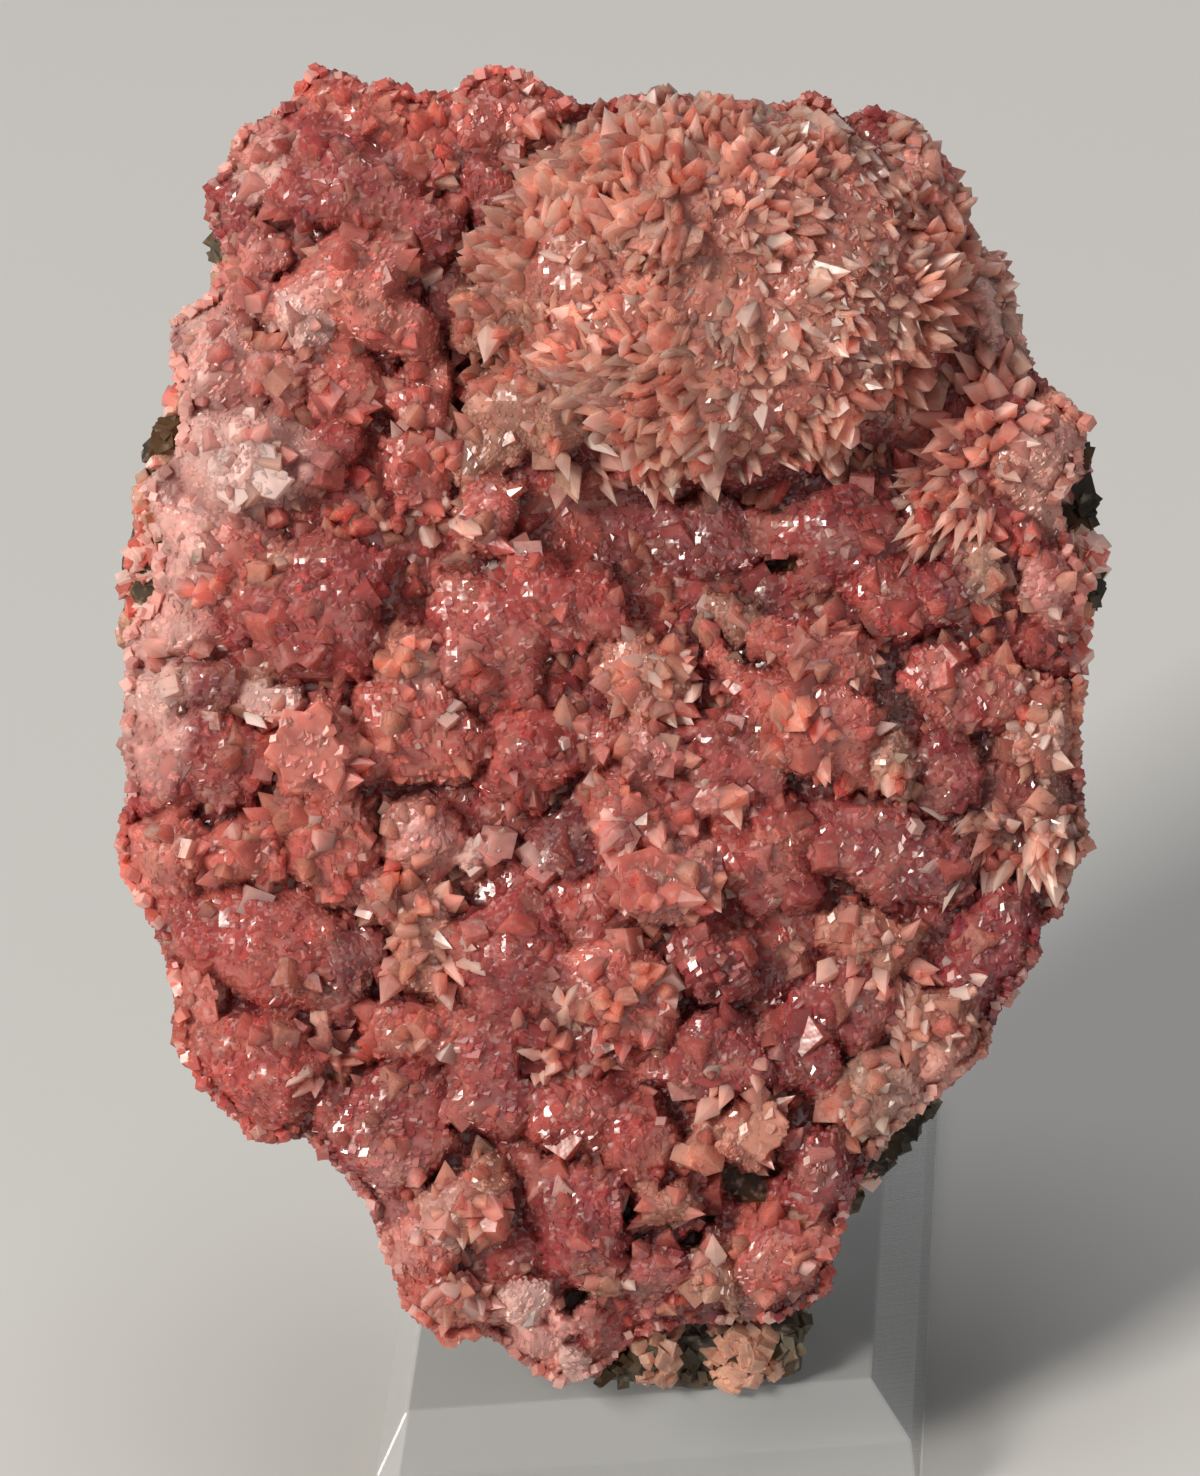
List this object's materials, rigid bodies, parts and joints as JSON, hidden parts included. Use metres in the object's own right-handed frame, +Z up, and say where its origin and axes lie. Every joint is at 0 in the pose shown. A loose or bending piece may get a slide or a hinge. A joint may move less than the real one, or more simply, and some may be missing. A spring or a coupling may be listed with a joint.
{
  "type": "calcite druzy specimen on a clear stand",
  "caption": "Upright slab of pink calcite druse on thin host rock, leaning back on a clear rest plate above a clear bevelled block.",
  "frame": {"origin": "centre of the clear block's underside", "axes": "+Z up; -Y towards the viewer, the way the crystal face looks; +X to the viewer's right"},
  "size_m": [0.0671, 0.057, 0.0918],
  "materials": {
    "calcite": "satin",
    "host_rock": "matte",
    "clear_acrylic": "polished"
  },
  "bodies": {
    "root": {"calcite_druse": "calcite", "rock_matrix": "host_rock", "stand_base": "clear_acrylic", "stand_rest": "clear_acrylic"}
  },
  "joints": []
}
